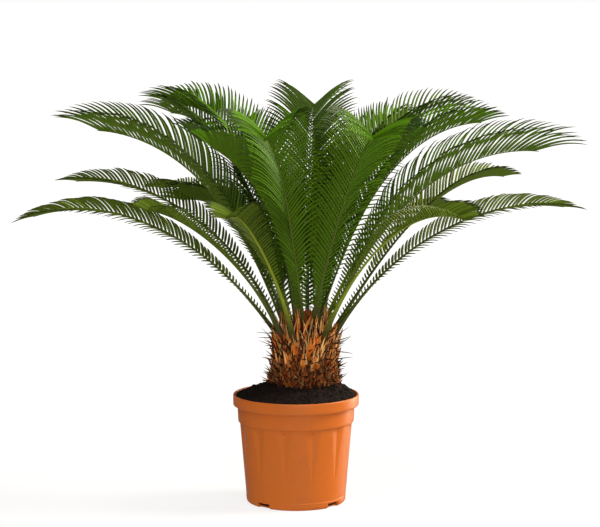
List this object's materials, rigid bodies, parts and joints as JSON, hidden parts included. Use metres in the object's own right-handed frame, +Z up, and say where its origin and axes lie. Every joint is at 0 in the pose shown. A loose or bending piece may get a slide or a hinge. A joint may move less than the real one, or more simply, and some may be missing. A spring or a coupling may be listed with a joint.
{
  "type": "sago palm",
  "caption": "Potted sago palm: a squat scaly trunk in soil carries a full crown of arching feather fronds above a tapering plastic pot.",
  "frame": {"origin": "centre of the pot's flat underside", "axes": "+Z up, +X to the plant's right and +Y to its back, as seen from the front"},
  "size_m": [1.3286, 1.2868, 1.0017],
  "materials": {
    "pot_plastic": "satin",
    "soil": "matte",
    "trunk_bark": "matte",
    "bud_wool": "matte",
    "frond_old": "satin",
    "frond_mature": "satin",
    "frond_young": "satin"
  },
  "bodies": {
    "root": {"pot": "pot_plastic", "soil": "soil", "trunk": "trunk_bark", "bud": "bud_wool", "frond_01": "frond_old", "frond_02": "frond_old", "frond_03": "frond_old", "frond_04": "frond_old", "frond_05": "frond_old", "frond_06": "frond_old", "frond_07": "frond_old", "frond_08": "frond_mature", "frond_09": "frond_mature", "frond_10": "frond_young", "frond_11": "frond_mature", "frond_12": "frond_mature", "frond_13": "frond_young", "frond_14": "frond_young", "frond_15": "frond_young", "frond_16": "frond_young", "frond_17": "frond_old", "frond_18": "frond_old", "frond_19": "frond_old", "frond_20": "frond_old", "frond_21": "frond_mature", "frond_22": "frond_mature", "frond_23": "frond_mature", "frond_24": "frond_young", "frond_25": "frond_young", "frond_26": "frond_young", "frond_27": "frond_young"}
  },
  "joints": []
}
